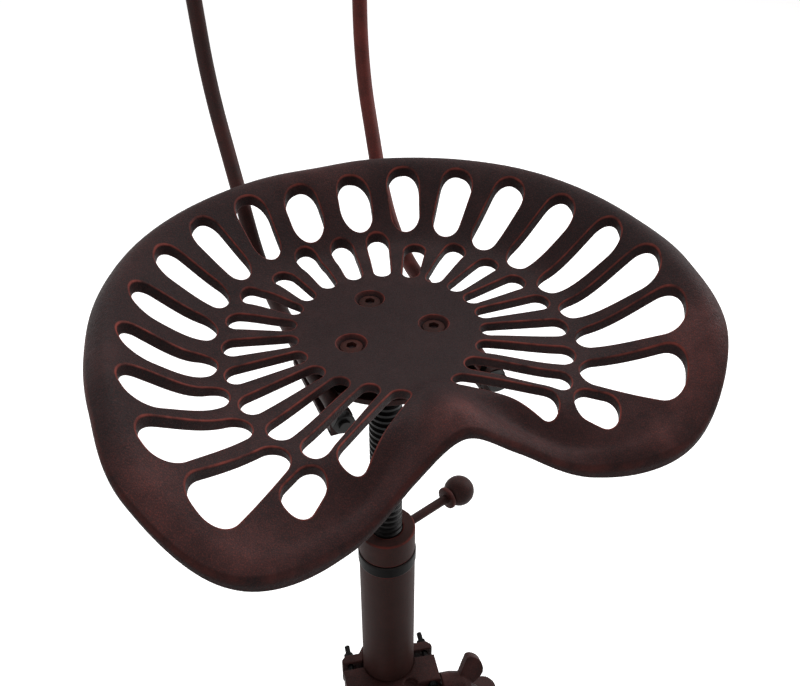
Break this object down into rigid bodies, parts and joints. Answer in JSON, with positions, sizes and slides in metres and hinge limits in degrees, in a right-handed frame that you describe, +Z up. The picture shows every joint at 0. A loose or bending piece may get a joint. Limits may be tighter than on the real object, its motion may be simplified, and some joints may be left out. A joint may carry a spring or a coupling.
{
  "type": "adjustable tractor seat stool",
  "caption": "Pierced cast tractor seat with a low slotted back on a screw column, with a ball lever lock, a clamped footrest and a splayed cast base.",
  "frame": {"origin": "on the floor, under the middle of the column", "axes": "+Z up along the column, the sitter faces -Y, +X to the side of the ball lever"},
  "size_m": [0.4102, 0.4514, 1.116],
  "materials": {
    "cast_copper": "matte antique copper with rubbed reddish edges",
    "copper_steel": "satin antique copper",
    "black_steel": "blackened",
    "black_rubber": "matte",
    "grey_nylon": "matte"
  },
  "bodies": {
    "stand": {"column_tube": "copper_steel", "column_nut": "black_steel", "clamp_rear": "cast_copper", "clamp_front": "cast_copper", "clamp_bolt_left": "black_steel", "clamp_bolt_right": "black_steel", "clamp_nut_left": "black_steel", "clamp_nut_right": "black_steel", "base_casting": "cast_copper", "foot_back_right": "black_rubber", "foot_back_left": "black_rubber", "foot_front_left": "black_rubber", "foot_front_right": "black_rubber"},
    "guide": {"glide_bush": "grey_nylon"},
    "seat": {"seat_casting": "cast_copper", "mount_plate": "copper_steel", "seat_screw_back": "copper_steel", "seat_screw_left": "copper_steel", "seat_screw_right": "copper_steel", "seat_nut_back": "black_steel", "seat_nut_left": "black_steel", "seat_nut_right": "black_steel", "screw_spindle": "black_steel", "glide_bush_nut": "black_steel", "back_bracket": "copper_steel", "bracket_ring_nut": "black_steel", "back_rod_left": "copper_steel", "back_rod_right": "copper_steel", "rod_bolt_left": "black_steel", "rod_bolt_right": "black_steel", "rod_nut_left": "black_steel", "rod_nut_right": "black_steel", "back_plate": "copper_steel", "back_screw_lower_left": "black_steel", "back_screw_upper_left": "black_steel", "back_screw_lower_right": "black_steel", "back_screw_upper_right": "black_steel", "back_nut_lower_left": "black_steel", "back_nut_upper_left": "black_steel", "back_nut_lower_right": "black_steel", "back_nut_upper_right": "black_steel"},
    "friction_ring": {"lock_ring": "black_steel"},
    "lock_collar": {"lock_nut": "copper_steel", "lock_lever_rod": "copper_steel", "lock_lever_knob": "copper_steel"},
    "screw_pad": {"wing_screw_pad": "grey_nylon"},
    "wing": {"wing_screw": "cast_copper"},
    "foot_bar": {"footrest": "copper_steel"}
  },
  "joints": [
    {"name": "screw_lift", "type": "slide", "parent": "stand", "child": "guide", "axis": [0, 0, 1], "range_m": [-0.1401, 0.0301]},
    {"name": "seat_turn", "type": "hinge", "parent": "guide", "child": "seat", "pos_m": [0, 0, 0.6], "axis": [0, 0, 1], "range_deg": [-8400, 1800]},
    {"name": "lock_lift", "type": "slide", "parent": "stand", "child": "friction_ring", "axis": [0, 0, 1], "range_m": [0, 0.00151]},
    {"name": "lock_turn", "type": "hinge", "parent": "friction_ring", "child": "lock_collar", "pos_m": [0, 0, 0.5455], "axis": [0, 0, 1], "range_deg": [0, 90]},
    {"name": "wing_travel", "type": "slide", "parent": "stand", "child": "screw_pad", "axis": [0.9848, -0.1736, 0], "range_m": [0, 0.00501]},
    {"name": "wing_turn", "type": "hinge", "parent": "screw_pad", "child": "wing", "pos_m": [-0.00556, -0.03151, 0.356], "axis": [0.9848, -0.1736, 0], "range_deg": [0, 1440]},
    {"name": "footrest_slide", "type": "slide", "parent": "stand", "child": "foot_bar", "axis": [-0.1736, -0.9848, 0], "range_m": [0, 0.018]}
  ],
  "couplings": [
    {"joint": "screw_lift", "follows": "seat_turn", "m_per_rad": 0.00095493},
    {"joint": "lock_lift", "follows": "lock_turn", "m_per_rad": 0.00095493},
    {"joint": "wing_travel", "follows": "wing_turn", "m_per_rad": 0.00019894}
  ]
}
